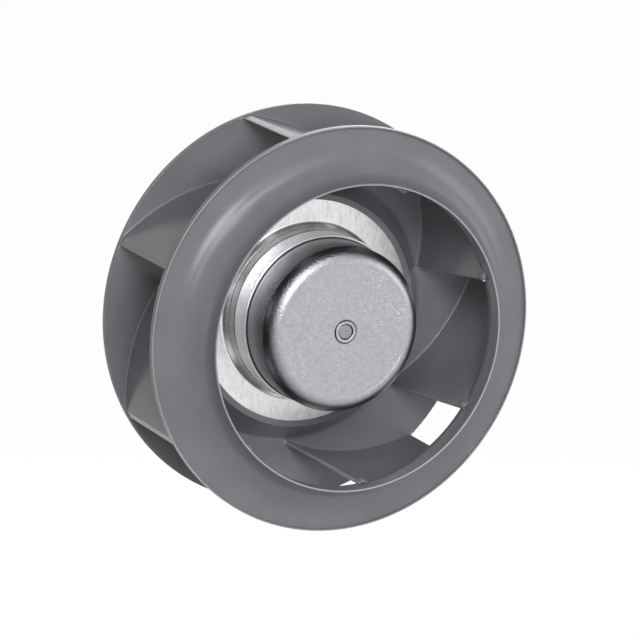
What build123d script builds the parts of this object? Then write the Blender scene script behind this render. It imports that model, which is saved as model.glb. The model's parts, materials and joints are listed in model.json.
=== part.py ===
from build123d import *
from math import atan, cos, degrees, log, radians, sin, sqrt
import os

# Motorised impeller: a backward-curved centrifugal wheel carried by an external-rotor motor.
# All lengths are in millimetres. Each piece is drawn on a bench frame: Z runs forward from the
# motor's mounting face towards the air inlet, X is to the right and Y up, seen from the inlet.
# The last step lays the fan down, so that its inlet faces -Y and the mounting face is at Y = 0.

# Back disc of the impeller
disc_overhang = 0.6         # back disc outside the shroud's rim
disc_wall = 2.5
disc_height = 11.4          # mounting face to the rear face of the disc
hub_rise = 15.3             # disc front face to the front face of the steel flange
hub_step_run = 10.8         # radial length of the cone that joins the hub lip to the disc
lip_overlap = 2.0           # plastic over the front of the steel flange's edge
lip_cover = 0.8             # thickness of that plastic
lip_land = 1.3              # plastic outside the flange's edge, before the cone starts
rear_lip_overlap = 6.0      # plastic behind the flange's edge
lip_edge_fillet = 0.3       # inner edge of the hub lip
disc_edge_fillet = 0.5
cone_foot_fillet = 4.0      # front of the disc to the cone
cone_top_fillet = 2.0       # rear of the cone to the rear of the lip

# Shroud ring with its inlet throat
shroud_radius = 110.0
shroud_wall = 2.3
outlet_width = 59.7         # disc front face to the inner face of the shroud at its rim
rim_flat = 5.2              # flat land between the flare and the outer edge
flare_radius = 22.5         # inner surface of the flare, seen in section
throat_wall = 1.2           # wall at the lip, thinner than at the rim
throat_land = 1.7           # straight lip at the throat
bead_width = 1.1
bead_height = 1.8
bead_fillet = 0.35
throat_lip_fillet = 0.45
rim_fillet = 0.7            # outer edge of the shroud towards the outlet

# Blades
blade_count = 7
blade_wall = 2.2
blade_phase = 4.5           # degrees, end of the first blade's spiral from the X axis
blade_overrun = 2.0         # end of the spiral outside the shroud's edge, before the blade is trimmed
trailing_inset = 0.2        # trimmed trailing edge inside the shroud's edge
root_gap = 2.5              # leading edge root outside the foot of the cone
root_wrap = 45.6            # degrees, leading edge to the end of the spiral at the disc
tip_wrap = 39.5             # degrees, the same at the throat
tip_gap = 1.1               # leading edge tip outside the throat
tip_drop = 6.0              # top plane of the blade blank below the centre of the flare
blade_sink = 1.0            # blade root inside the disc, where one moulding joins
blade_line_points = 6       # points that each spiral of a blade passes through

# Steel hub ring
ring_wall = 1.6
ring_edge = 63.3            # outer radius of the flange, inside the plastic
ring_step = 0.8             # radial step between the collar and its foot
ring_step_height = 11.1     # flange front face to the front end of the step
ring_step_run = 5.4         # length of the step along the axis
ring_height = 24.0          # flange front face to the front edge of the collar
ring_fillet = 2.5
ring_shoulder_fillet = 1.0
ring_edge_fillet = 0.35

# Rotor can
can_radius = 45.0
can_wall = 1.8
can_corner = 8.0
can_rear_gap = 2.0          # open end of the can to the flange plate of the stator
can_head_gap = 7.5          # winding head to the inside of the can's face
can_collar_wall = 3.8       # tube drawn inwards from the face, which grips the shaft
can_collar_length = 7.0
boss_width = 1.85           # raised ring round the shaft's end
boss_height = 0.4

# Shaft and ball bearings
shaft_radius = 4.0
shaft_recess = 0.6          # end of the shaft below the raised ring
shaft_chamfer = 0.4
centre_drill_radius = 0.6
centre_drill_depth = 0.8
circlip_radius = 6.0
circlip_wall = 0.8
circlip_groove_depth = 0.3
circlip_gap_angle = 70.0
shaft_tail = 0.7            # shaft behind the circlip
spacer_wall = 1.8
bearing_radius = 11.0
bearing_width = 7.0
ball_count = 7
ball_radius = 1.98
ball_clearance = 0.06
race_land_gap = 1.4         # ball centre circle to the shoulder of each race
cage_wall = 1.2
cage_width = 5.2
preload_gap = 1.2           # height of the curved spring washer when fitted
washer_strip = 0.3
washer_band = 1.4
washer_edge_gap = 0.2

# Stator flange, die-cast
plate_front = 14.0          # mounting face to the front of the plate
flange_inset = 1.0          # rear of the flange inside the can's radius
flange_rim_height = 3.0     # thickness of the wider rim at the front of the plate
flange_edge_fillet = 1.0
skirt_edge_fillet = 0.6
skirt_gap = 1.2             # running gap round the open end of the can
skirt_wall = 2.3
skirt_overlap = 2.2         # length of the can inside the skirt
tube_wall = 3.5             # bearing tube round the bearings
shoulder_width = 1.5        # step in the tube that each bearing stands on
core_seat_wall = 2.0        # thick foot of the tube that the core stands on
tube_overhang = 4.0         # tube in front of the core
front_bearing_inset = 1.0
pocket_depth = 3.0
pocket_inner_wall = 4.0
pocket_outer_wall = 5.5
bolt_circle_radius = 28.0
bolt_count = 4
bolt_hole_radius = 1.65     # tapping size for M4
bolt_hole_depth = 9.0
bolt_boss_radius = 5.5
cap_recess = 0.8
cap_wall = 1.0
cap_seat_width = 2.0        # cap outside the bearing bore
cap_end_gap = 0.9           # cap to the rear end of the shaft

# Cable exit
gland_hole_radius = 4.2
gland_height = 6.6          # mounting face to the axis of the exit
gland_depth = 12.0
gland_boss_width = 14.0
gland_boss_proud = 0.5      # face of the exit boss outside the skirt
duct_radius = 3.2
duct_end_gap = 1.0          # blind end of the exit to the duct that rises into the motor
grommet_bore_radius = 2.75
grommet_head_radius = 5.8
grommet_head_length = 1.8

# Stator core and its windings
core_length = 32.0
core_rear_room = 16.5       # plate to the rear of the core
slot_count = 16
core_yoke_wall = 4.1        # iron between the tube's seat and the slots
slot_mouth_depth = 3.0      # air gap to the slot itself
tooth_width = 4.2
slot_mouth = 2.4
wedge_height = 1.0
liner_wall = 0.3
insulator_wall = 1.0
insulator_hub_wall = 1.2
insulator_finger_width = 4.4
insulator_finger_wall = 1.0
insulator_bore_gap = 0.5
head_height = 7.5           # end turns in front of and behind the insulators
head_split_gap = 0.4        # between the two layers of end turns
head_inset = 0.4            # end turns inside the slots' inner and outer radius
coil_pitch_slots = 3
cutout_length = 12.0
cutout_width = 5.4
cutout_height = 3.2

# Rotor core and cage
air_gap = 0.4
rotor_core_wall = 8.8       # bore to the can
bar_count = 22
bar_depth = 4.6
bar_width = 3.0
bar_bridge = 1.4            # iron between the bore and the bars
end_ring_wall = 6.0
end_ring_height = 3.6

# Heights along the axis
disc_front = disc_height + disc_wall
flange_front = disc_front + hub_rise
rim_back = disc_front + outlet_width
shroud_face = rim_back + shroud_wall
flare_z = rim_back + flare_radius
throat_end = flare_z + throat_land
core_rear = plate_front + core_rear_room
core_front = core_rear + core_length
head_rear = core_rear - insulator_wall - head_height
head_front = core_front + insulator_wall + head_height
can_rear = plate_front + can_rear_gap
can_inside = head_front + can_head_gap
can_front = can_inside + can_wall
tube_front = core_front + tube_overhang
cap_front = cap_recess + cap_wall
shaft_rear = cap_front + cap_end_gap
circlip_rear = shaft_rear + shaft_tail
rear_bearing_z = circlip_rear + circlip_wall
washer_rear = rear_bearing_z + bearing_width
rear_shoulder = washer_rear + preload_gap
front_bearing_z = tube_front - front_bearing_inset - bearing_width
shaft_front = can_front + boss_height - shaft_recess

# Radii
groove_radius = shaft_radius - circlip_groove_depth
hub_lip_inner = ring_edge - lip_overlap
hub_lip_outer = ring_edge + lip_land
step_foot = hub_lip_outer + hub_step_run
flare_r = shroud_radius - rim_flat
throat_radius = flare_r - flare_radius
disc_radius = shroud_radius + disc_overhang
trailing_radius = shroud_radius - trailing_inset
spiral_end = shroud_radius + blade_overrun
ball_circle = (shaft_radius + bearing_radius) / 2
tube_radius = bearing_radius + tube_wall
core_seat_radius = tube_radius + core_seat_wall
flange_radius = can_radius - flange_inset
skirt_inner = can_radius + skirt_gap
skirt_outer = skirt_inner + skirt_wall
gland_face = skirt_outer + gland_boss_proud
rotor_bore = can_radius - can_wall - rotor_core_wall
bar_inner = rotor_bore + bar_bridge
core_radius = rotor_bore - air_gap
slot_outer_radius = core_radius - slot_mouth_depth
slot_inner_radius = core_seat_radius + core_yoke_wall
head_inner = slot_inner_radius + head_inset
head_outer = slot_outer_radius - head_inset
head_middle = (head_inner + head_outer) / 2


def cylinder(radius, low, high):
    """Solid cylinder on the axis between two heights."""
    return Pos(0, 0, low) * Cylinder(radius, high - low, align=(Align.CENTER, Align.CENTER, Align.MIN))


def ring(inner, outer, low, high):
    """Plain ring on the axis between two heights."""
    return cylinder(outer, low, high) - cylinder(inner, low - 1, high + 1)


def turned(outline, rounds=()):
    """Solid turned round the axis from a closed outline given as radius and height.

    Each round gives the radius and height of one corner of the outline, and the fillet that it gets.
    """
    section = make_face(outline)
    for corner_r, corner_z, fillet_radius in rounds:
        corner = section.vertices().sort_by_distance((corner_r, corner_z, 0))[0]
        section = fillet(corner, fillet_radius)
    return revolve(Plane.XZ * section, Axis.Z)


def sector(inner, outer, low, high, start, end):
    """Block between two radii, two heights and two angles in degrees."""
    outline = (
        CenterArc((0, 0), outer, start, end - start)
        + CenterArc((0, 0), inner, start, end - start)
        + Line(polar(inner, start), polar(outer, start))
        + Line(polar(inner, end), polar(outer, end))
    )
    return Pos(0, 0, low) * extrude(make_face(outline), high - low)


def polar(radius, angle):
    """Plan point at a radius and an angle in degrees."""
    return (radius * cos(radians(angle)), radius * sin(radians(angle)))


def around(shape, count, phase=0.0):
    """Copies of a shape spaced evenly round the axis."""
    return [Rot(0, 0, phase + 360 / count * index) * shape for index in range(count)]


def make_shroud_ring():
    """Flared inlet ring, welded to the front edges of the blades."""
    throat_outer = throat_radius + throat_wall
    crest_radius = flare_radius - shroud_wall
    crest_r = throat_outer + crest_radius
    bead_inner = shroud_radius - bead_width
    bead_front = shroud_face + bead_height
    outline = (
        Polyline(
            (throat_radius, flare_z),
            (throat_radius, throat_end),
            (throat_outer, throat_end),
            (throat_outer, flare_z),
        )
        + CenterArc((crest_r, flare_z), crest_radius, 180, 90)
        + Polyline(
            (crest_r, shroud_face),
            (bead_inner, shroud_face),
            (bead_inner, bead_front),
            (shroud_radius, bead_front),
            (shroud_radius, rim_back),
            (flare_r, rim_back),
        )
        + CenterArc((flare_r, flare_z), flare_radius, 180, 90)
    )
    rounds = [
        (throat_radius, throat_end, throat_lip_fillet),
        (throat_outer, throat_end, throat_lip_fillet),
        (bead_inner, shroud_face, bead_fillet),
        (bead_inner, bead_front, bead_fillet),
        (shroud_radius, bead_front, bead_fillet),
        (shroud_radius, rim_back, rim_fillet),
    ]
    return turned(outline, rounds)


def make_back_disc():
    """Back disc with the raised hub lip that holds the steel flange's edge."""
    lip_front = flange_front + lip_cover
    slope = atan((lip_front - disc_front) / hub_step_run)
    rear_shift = disc_wall * (1 - cos(slope)) / sin(slope)
    rear_foot = step_foot - rear_shift
    flange_back = flange_front - ring_wall
    rear_lip_back = flange_back - disc_wall
    rear_top = rear_foot - (rear_lip_back - disc_height) / (lip_front - disc_front) * hub_step_run
    rear_lip_inner = ring_edge - rear_lip_overlap
    outline = Polyline(
        (hub_lip_inner, lip_front),
        (hub_lip_outer, lip_front),
        (step_foot, disc_front),
        (disc_radius, disc_front),
        (disc_radius, disc_height),
        (rear_foot, disc_height),
        (rear_top, rear_lip_back),
        (rear_lip_inner, rear_lip_back),
        (rear_lip_inner, flange_back),
        (ring_edge, flange_back),
        (ring_edge, flange_front),
        (hub_lip_inner, flange_front),
        close=True,
    )
    rounds = [
        (hub_lip_inner, lip_front, lip_edge_fillet),
        (hub_lip_outer, lip_front, disc_edge_fillet),
        (step_foot, disc_front, cone_foot_fillet),
        (disc_radius, disc_front, disc_edge_fillet),
        (disc_radius, disc_height, disc_edge_fillet),
        (rear_foot, disc_height, cone_foot_fillet + disc_wall),
        (rear_top, rear_lip_back, cone_top_fillet),
        (rear_lip_inner, rear_lip_back, disc_edge_fillet),
    ]
    return turned(outline, rounds)


def blade_section(height, leading_radius, wrap):
    """Blade section at one height: a log spiral of even thickness with a round nose."""
    spiral_angle = degrees(atan(radians(wrap) / log(spiral_end / leading_radius)))
    sides = {1: [], -1: []}
    for point in range(blade_line_points):
        share = point / (blade_line_points - 1)
        radius = leading_radius * (spiral_end / leading_radius) ** share
        angle = -wrap * (1 - share)
        normal = angle + spiral_angle + 90
        for side in sides:
            x, y = polar(radius, angle)
            dx, dy = polar(side * blade_wall / 2, normal)
            sides[side].append((x + dx, y + dy))
    nose_x, nose_y = polar(leading_radius, -wrap)
    back_x, back_y = polar(-blade_wall / 2, spiral_angle - wrap)
    outline = (
        Spline(*sides[1])
        + Spline(*sides[-1])
        + Line(sides[1][-1], sides[-1][-1])
        + ThreePointArc(sides[1][0], (nose_x + back_x, nose_y + back_y), sides[-1][0])
    )
    return Pos(0, 0, height) * make_face(outline)


def make_blade():
    """One twisted blade, trimmed to the inner face of the shroud and round the outlet."""
    bottom = disc_front - blade_sink
    top = flare_z - tip_drop
    blank = loft(
        [
            blade_section(bottom, step_foot + root_gap, root_wrap),
            blade_section(top, throat_radius + tip_gap, tip_wrap),
        ],
        ruled=True,
    )
    passage = turned(
        Polyline(
            (throat_radius, flare_z),
            (hub_lip_outer, flare_z),
            (hub_lip_outer, bottom),
            (trailing_radius, bottom),
            (trailing_radius, rim_back),
            (flare_r, rim_back),
        )
        + CenterArc((flare_r, flare_z), flare_radius, 180, 90)
    )
    return blank & passage


def make_impeller_base():
    """Back disc and blades, one moulding."""
    return make_back_disc() + around(make_blade(), blade_count, blade_phase)


def make_hub_ring():
    """Drawn steel ring: a flange held by the plastic and a stepped collar pressed on the can."""
    back = flange_front - ring_wall
    foot_inner = can_radius + ring_step
    foot_outer = foot_inner + ring_wall
    fillet_r = foot_outer + ring_fillet
    fillet_z = flange_front + ring_fillet
    shoulder = flange_front + ring_step_height
    step_rear = shoulder - ring_step_run
    collar_front = flange_front + ring_height
    outline = (
        Polyline(
            (fillet_r, flange_front),
            (ring_edge, flange_front),
            (ring_edge, back),
            (fillet_r, back),
        )
        + CenterArc((fillet_r, fillet_z), ring_fillet + ring_wall, 180, 90)
        + Polyline(
            (foot_inner, fillet_z),
            (foot_inner, step_rear),
            (can_radius, shoulder),
            (can_radius, collar_front),
            (can_radius + ring_wall, collar_front),
            (can_radius + ring_wall, shoulder),
            (foot_outer, step_rear),
            (foot_outer, fillet_z),
        )
        + CenterArc((fillet_r, fillet_z), ring_fillet, 180, 90)
    )
    rounds = [
        (foot_inner, step_rear, ring_shoulder_fillet),
        (can_radius, collar_front, ring_edge_fillet),
        (can_radius + ring_wall, collar_front, ring_edge_fillet),
        (can_radius + ring_wall, shoulder, ring_shoulder_fillet),
        (foot_outer, step_rear, ring_shoulder_fillet),
    ]
    return turned(outline, rounds)


def make_rotor_can():
    """Deep-drawn cup with a rounded corner and a tube drawn inwards round the shaft."""
    shell = cylinder(can_radius, can_rear, can_front)
    shell -= cylinder(can_radius - can_wall, can_rear - 1, can_inside)
    front_edge = shell.edges().filter_by(GeomType.CIRCLE).group_by(Axis.Z)[-1]
    shell = fillet(front_edge, can_corner)
    inner_edge = shell.edges().filter_by(GeomType.CIRCLE).filter_by(
        lambda edge: abs(edge.center().Z - can_inside) < can_wall / 4
        and abs(edge.radius - can_radius + can_wall) < can_wall / 4
    )
    shell = fillet(inner_edge, can_corner - can_wall)
    collar = cylinder(shaft_radius + can_collar_wall, can_inside - can_collar_length, can_front)
    boss = cylinder(shaft_radius + boss_width, can_front, can_front + boss_height)
    return shell + collar + boss - cylinder(shaft_radius, can_rear, can_front + boss_height + 1)


def make_shaft():
    """Ground shaft, pressed into the can, with a groove for the circlip."""
    bar = cylinder(shaft_radius, shaft_rear, shaft_front)
    bar = chamfer(bar.edges().filter_by(GeomType.CIRCLE), shaft_chamfer)
    groove = ring(groove_radius, shaft_radius + 1, circlip_rear, rear_bearing_z)
    drill = Pos(0, 0, shaft_front - centre_drill_depth) * Cone(
        0.1, centre_drill_radius, centre_drill_depth, align=(Align.CENTER, Align.CENTER, Align.MIN)
    )
    return bar - groove - drill


def make_shaft_circlip():
    """Open ring in the shaft's groove, behind the rear bearing."""
    blank = ring(groove_radius, circlip_radius, circlip_rear, rear_bearing_z)
    half = circlip_gap_angle / 2
    gap = sector(0.5, circlip_radius + 1, circlip_rear - 1, rear_bearing_z + 1, -half, half)
    return blank - gap


def make_shaft_spacer():
    """Sleeve between the front bearing and the can's tube."""
    return ring(
        shaft_radius,
        shaft_radius + spacer_wall,
        front_bearing_z + bearing_width,
        can_inside - can_collar_length,
    )


def raceway(low):
    """Torus that leaves the ball groove in both races of a bearing."""
    return Pos(0, 0, low + bearing_width / 2) * Torus(ball_circle, ball_radius + ball_clearance)


def make_inner_race(low):
    """Inner race, pressed on the shaft."""
    return ring(shaft_radius, ball_circle - race_land_gap, low, low + bearing_width) - raceway(low)


def make_outer_race(low):
    """Outer race, seated in the bearing tube."""
    return ring(ball_circle + race_land_gap, bearing_radius, low, low + bearing_width) - raceway(low)


def make_balls(low):
    """Balls of one bearing, each a solid with eighteen flats whose corners lie on the sphere."""
    side = 2 * ball_radius * sqrt(2 / 3)
    ball = Box(side, side, side)
    for turn in (Rot(45, 0, 0), Rot(0, 45, 0), Rot(0, 0, 45)):
        ball &= turn * Box(side, side, side)
    return around(Pos(ball_circle, 0, low + bearing_width / 2) * ball, ball_count)


def make_cage(low):
    """Ring that keeps the balls apart, with one square window for each."""
    middle = low + bearing_width / 2
    inner = ball_circle - cage_wall / 2
    blank = ring(inner, inner + cage_wall, middle - cage_width / 2, middle + cage_width / 2)
    window = 2 * ball_radius + ball_clearance
    return blank - around(Pos(ball_circle, 0, middle) * Box(2 * cage_wall, window, window), ball_count)


def make_preload_washer():
    """Curved spring washer between the rear bearing's outer race and the shoulder of the tube."""
    outer = bearing_radius - washer_edge_gap
    rise = preload_gap - washer_strip
    bend_radius = (outer**2 + rise**2) / (2 * rise)
    sheet = Cylinder(bend_radius + washer_strip, 3 * outer) - Cylinder(bend_radius, 4 * outer)
    sheet = Pos(0, 0, rear_shoulder - bend_radius - washer_strip) * Rot(0, 90, 0) * sheet
    return sheet & ring(outer - washer_band, outer, washer_rear - 1, rear_shoulder + 1)


def make_stator_flange():
    """Die-cast flange with the bearing tube, the mounting holes and the cable exit."""
    skirt_front = can_rear + skirt_overlap
    rim_rear = plate_front - flange_rim_height
    outline = Polyline(
        (0, 0),
        (flange_radius, 0),
        (flange_radius, rim_rear),
        (skirt_outer, rim_rear),
        (skirt_outer, skirt_front),
        (skirt_inner, skirt_front),
        (skirt_inner, plate_front),
        (core_seat_radius, plate_front),
        (core_seat_radius, core_rear),
        (tube_radius, core_rear),
        (tube_radius, tube_front),
        (0, tube_front),
        close=True,
    )
    rounds = [
        (flange_radius, 0, flange_edge_fillet),
        (flange_radius, rim_rear, skirt_edge_fillet),
        (skirt_outer, rim_rear, skirt_edge_fillet),
        (skirt_outer, skirt_front, skirt_edge_fillet),
        (skirt_inner, skirt_front, skirt_edge_fillet),
        (core_seat_radius, plate_front, flange_edge_fillet),
    ]
    body = turned(outline, rounds)

    pocket_inner = bearing_radius + cap_seat_width + pocket_inner_wall
    pocket = ring(pocket_inner, flange_radius - pocket_outer_wall, -1, pocket_depth)
    boss = Pos(bolt_circle_radius, 0, 0) * cylinder(bolt_boss_radius, -2, pocket_depth + 1)
    pocket -= around(boss, bolt_count, 45)
    rib = Pos(0, -gland_face / 2, pocket_depth / 2) * Box(gland_boss_width, gland_face, 3 * pocket_depth)
    pocket -= rib
    body -= pocket

    gland_boss = Pos(0, -gland_face / 2, plate_front / 2) * Box(gland_boss_width, gland_face, plate_front)
    gland_boss -= cylinder(flange_radius - pocket_outer_wall / 2, -1, plate_front + 1)
    body += gland_boss

    body -= cylinder(bearing_radius, -1, rear_shoulder)
    body -= cylinder(bearing_radius - shoulder_width, -1, tube_front + 1)
    body -= cylinder(bearing_radius, front_bearing_z, tube_front + 1)
    body -= cylinder(bearing_radius + cap_seat_width, -1, cap_front)
    hole = Pos(bolt_circle_radius, 0, 0) * cylinder(bolt_hole_radius, -1, bolt_hole_depth)
    body -= around(hole, bolt_count, 45)
    body -= Pos(0, -gland_face, gland_height) * Rot(90, 0, 0) * Cylinder(gland_hole_radius, 2 * gland_depth)
    duct_place = gland_face - gland_depth + duct_end_gap + duct_radius
    body -= Pos(0, -duct_place, 0) * cylinder(duct_radius, gland_height, plate_front + 1)
    return body


def make_bearing_cap():
    """Pressed steel cap that closes the bearing tube at the rear."""
    return cylinder(bearing_radius + cap_seat_width, cap_recess, cap_front)


def make_cable_grommet():
    """Rubber bush in the cable exit."""
    barrel = Cylinder(gland_hole_radius, gland_depth / 2, align=(Align.CENTER, Align.CENTER, Align.MAX))
    head = Cone(
        grommet_head_radius,
        (grommet_head_radius + gland_hole_radius) / 2,
        grommet_head_length,
        align=(Align.CENTER, Align.CENTER, Align.MIN),
    )
    bore = Cylinder(grommet_bore_radius, 2 * gland_depth)
    return Pos(0, -gland_face, gland_height) * Rot(90, 0, 0) * (barrel + head - bore)


def slot_outline(inset=0.0):
    """Plan of one slot on the X axis, between two parallel-sided teeth, without its mouth."""
    half_pitch = radians(180 / slot_count)
    inner = slot_inner_radius + inset
    outer = slot_outer_radius - inset
    inner_half = inner * sin(half_pitch) - tooth_width / 2 * cos(half_pitch) - inset
    outer_half = outer * sin(half_pitch) - tooth_width / 2 * cos(half_pitch) - inset
    corners = [(inner, -inner_half), (outer, -outer_half), (outer, outer_half), (inner, inner_half)]
    return Polyline(*corners, close=True)


def slot_block(low, high, inset=0.0):
    """Prism that fills one slot between two heights."""
    return Pos(0, 0, low) * extrude(make_face(slot_outline(inset)), high - low)


def mouth_block(low, high, start):
    """Prism that fills the mouth of one slot, from a radius outwards."""
    length = core_radius + 2 - start
    return Pos(start + length / 2, 0, (low + high) / 2) * Box(length, slot_mouth, high - low)


def make_stator_core():
    """Stack of laminations on the bearing tube, with open slots towards the rotor."""
    stack = ring(tube_radius, core_radius, core_rear, core_front)
    cutter = slot_block(core_rear - 1, core_front + 1)
    cutter += mouth_block(core_rear - 1, core_front + 1, slot_outer_radius - 1)
    return stack - around(cutter, slot_count)


def make_insulator(core_face, outward):
    """Moulded end plate: slots as in the core, a hub and fingers that hold the end turns."""
    plate_end = core_face + outward * insulator_wall
    head_end = plate_end + outward * head_height
    low, high = sorted((core_face, plate_end))
    bore = core_seat_radius + insulator_bore_gap
    plate = ring(bore, core_radius - air_gap, low, high)
    cutter = slot_block(low - 1, high + 1)
    cutter += mouth_block(low - 1, high + 1, slot_outer_radius - 1)
    plate -= around(cutter, slot_count)
    wall_low, wall_high = sorted((plate_end, head_end))
    plate += ring(bore, bore + insulator_hub_wall, wall_low, wall_high)
    finger_outer = core_radius - air_gap
    finger_high = plate_end + outward * head_height / 2
    finger_low, finger_top = sorted((plate_end - outward * insulator_wall / 2, finger_high))
    finger = ring(finger_outer - insulator_finger_wall, finger_outer, finger_low, finger_top)
    finger &= Pos(finger_outer, 0, (finger_low + finger_top) / 2) * Box(
        4 * insulator_finger_wall, insulator_finger_width, finger_top - finger_low
    )
    return plate + around(finger, slot_count, 180 / slot_count)


def make_slot_liners():
    """Folded insulating paper in each slot."""
    low = core_rear - insulator_wall
    high = core_front + insulator_wall
    liner = slot_block(low, high) - slot_block(low - 1, high + 1, liner_wall)
    return around(liner, slot_count)


def make_slot_wedges():
    """Strips that close the mouths of the slots."""
    wedge = Pos(slot_outer_radius + wedge_height / 2, 0, (core_rear + core_front) / 2) * Box(
        wedge_height, slot_mouth, core_length
    )
    return around(wedge, slot_count)


def make_winding(first_slot, inner, outer):
    """Coils of one phase, each a closed loop through two slots and round both ends of the core."""
    pitch = 360 / slot_count
    low = core_rear - insulator_wall
    high = core_front + insulator_wall
    overhang = pitch / 4
    start = first_slot * pitch
    end = start + coil_pitch_slots * pitch
    coils = []
    for pole in range(slot_count // 4):
        turn = pole * 4 * pitch
        coil = sector(inner, outer, high, high + head_height, start - overhang, end + overhang)
        coil += sector(inner, outer, low - head_height, low, start - overhang, end + overhang)
        coil += Rot(0, 0, start) * slot_block(low, high, liner_wall)
        coil += Rot(0, 0, end) * slot_block(low, high, liner_wall)
        coils.append(Rot(0, 0, turn) * coil)
    return coils


def make_thermal_cutout():
    """Temperature switch that lies on the rear end turns."""
    radius = head_middle + head_split_gap / 2 + cutout_width / 2
    switch = Box(cutout_width, cutout_length, cutout_height)
    switch = fillet(switch.edges().filter_by(Axis.Z), cutout_width / 3)
    angle = 2.5 * 360 / slot_count
    return Rot(0, 0, angle) * Pos(radius, 0, head_rear - cutout_height / 2) * switch


def bar_block(low, high):
    """Prism of one cage bar on the X axis."""
    return Pos(bar_inner + bar_depth / 2, 0, (low + high) / 2) * Box(bar_depth, bar_width, high - low)


def make_rotor_core():
    """Ring of laminations inside the can, with a closed slot for each cage bar."""
    stack = ring(rotor_bore, can_radius - can_wall, core_rear, core_front)
    return stack - around(bar_block(core_rear - 1, core_front + 1), bar_count)


def make_squirrel_cage():
    """Cast cage: bars through the rotor core, joined by a ring at each end."""
    inner = bar_inner - bar_bridge / 2
    cage = ring(inner, inner + end_ring_wall, core_front, core_front + end_ring_height)
    cage += ring(inner, inner + end_ring_wall, core_rear - end_ring_height, core_rear)
    return cage + around(bar_block(core_rear, core_front), bar_count)


nodes = {
    "shroud_ring": make_shroud_ring(),
    "impeller_base": make_impeller_base(),
    "hub_ring": make_hub_ring(),
    "rotor_can": make_rotor_can(),
    "rotor_core": make_rotor_core(),
    "squirrel_cage": make_squirrel_cage(),
    "shaft": make_shaft(),
    "shaft_circlip": make_shaft_circlip(),
    "shaft_spacer": make_shaft_spacer(),
    "front_bearing_inner_race": make_inner_race(front_bearing_z),
    "rear_bearing_inner_race": make_inner_race(rear_bearing_z),
    "front_bearing_balls": make_balls(front_bearing_z),
    "front_bearing_cage": make_cage(front_bearing_z),
    "rear_bearing_balls": make_balls(rear_bearing_z),
    "rear_bearing_cage": make_cage(rear_bearing_z),
    "stator_flange": make_stator_flange(),
    "front_bearing_outer_race": make_outer_race(front_bearing_z),
    "rear_bearing_outer_race": make_outer_race(rear_bearing_z),
    "preload_washer": make_preload_washer(),
    "bearing_cap": make_bearing_cap(),
    "stator_core": make_stator_core(),
    "front_insulator": make_insulator(core_front, 1),
    "rear_insulator": make_insulator(core_rear, -1),
    "slot_liners": make_slot_liners(),
    "slot_wedges": make_slot_wedges(),
    "main_winding": make_winding(0, head_inner, head_middle - head_split_gap / 2),
    "auxiliary_winding": make_winding(2, head_middle + head_split_gap / 2, head_outer),
    "thermal_cutout": make_thermal_cutout(),
    "cable_grommet": make_cable_grommet(),
}

os.makedirs("parts", exist_ok=True)
for name, shape in nodes.items():
    solids = [solid for item in (shape if isinstance(shape, list) else [shape]) for solid in item.solids()]
    lying = [Rot(90, 0, 0) * solid for solid in solids]
    export_step(lying[0] if len(lying) == 1 else Compound(children=lying), f"parts/{name}.step")
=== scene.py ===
import json
import logging
import math
from dataclasses import dataclass
from enum import Enum

import bmesh
import bpy
import numpy as np
from mathutils import Matrix, Vector

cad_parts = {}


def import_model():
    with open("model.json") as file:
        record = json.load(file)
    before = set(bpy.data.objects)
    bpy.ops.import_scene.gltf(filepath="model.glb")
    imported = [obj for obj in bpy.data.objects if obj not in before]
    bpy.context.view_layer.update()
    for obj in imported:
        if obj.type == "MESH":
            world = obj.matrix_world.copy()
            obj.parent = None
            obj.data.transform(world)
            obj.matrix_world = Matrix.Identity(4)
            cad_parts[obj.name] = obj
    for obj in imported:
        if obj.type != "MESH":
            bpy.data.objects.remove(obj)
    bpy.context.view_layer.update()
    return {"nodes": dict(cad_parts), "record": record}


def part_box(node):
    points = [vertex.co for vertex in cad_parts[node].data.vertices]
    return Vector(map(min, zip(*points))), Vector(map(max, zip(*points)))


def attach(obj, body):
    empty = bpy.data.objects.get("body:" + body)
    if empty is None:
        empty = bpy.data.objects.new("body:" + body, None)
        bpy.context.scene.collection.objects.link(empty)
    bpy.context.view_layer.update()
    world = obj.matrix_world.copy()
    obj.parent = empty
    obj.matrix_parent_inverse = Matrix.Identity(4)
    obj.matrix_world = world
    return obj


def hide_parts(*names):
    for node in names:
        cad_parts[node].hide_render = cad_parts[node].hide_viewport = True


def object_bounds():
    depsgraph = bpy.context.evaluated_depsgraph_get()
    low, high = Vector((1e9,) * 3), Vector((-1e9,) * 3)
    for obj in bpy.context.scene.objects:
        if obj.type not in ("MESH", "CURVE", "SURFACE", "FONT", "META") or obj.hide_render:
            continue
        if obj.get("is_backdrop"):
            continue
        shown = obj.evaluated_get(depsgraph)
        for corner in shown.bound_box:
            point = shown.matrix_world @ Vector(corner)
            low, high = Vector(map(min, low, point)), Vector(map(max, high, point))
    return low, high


LOG = logging.getLogger("plug_fan")
MM = 0.001
IMAGE_SIZE = 640
# Points closer than this, in metres, become one.
WELD_GAP = 1e-7
# A wave texture of scale one repeats after this length.
WAVE_PITCH = math.pi / 10
# How far a noise moves the roughness of a surface up and down.
ROUGHNESS_SWING = 0.07
# Shares of a straight run at which it gets points: they crowd towards its ends.
RUN_SHARES = (0.02, 0.06, 0.15, 0.3, 0.5, 0.7, 0.85, 0.94, 0.98)
# Rays that see the floor and the surroundings as plain white.
WHITE_RAYS = ("Is Camera Ray", "Is Glossy Ray", "Is Transmission Ray")

Pair = tuple[float, float]
Triple = tuple[float, float, float]
Corner = Triple | tuple[float, float, float, float]
Tree = bpy.types.NodeTree
Socket = bpy.types.NodeSocket
Setting = float | int | str | bool | tuple | Socket
Finishes = dict[str, bpy.types.Material]
Array = np.ndarray


class Ends(Enum):
    """How the outline of a turned piece ends."""

    LOOP = "the outline closes on itself, as in a ring"
    AXIS = "both ends lie on the axis, as in a solid disc"


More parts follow.
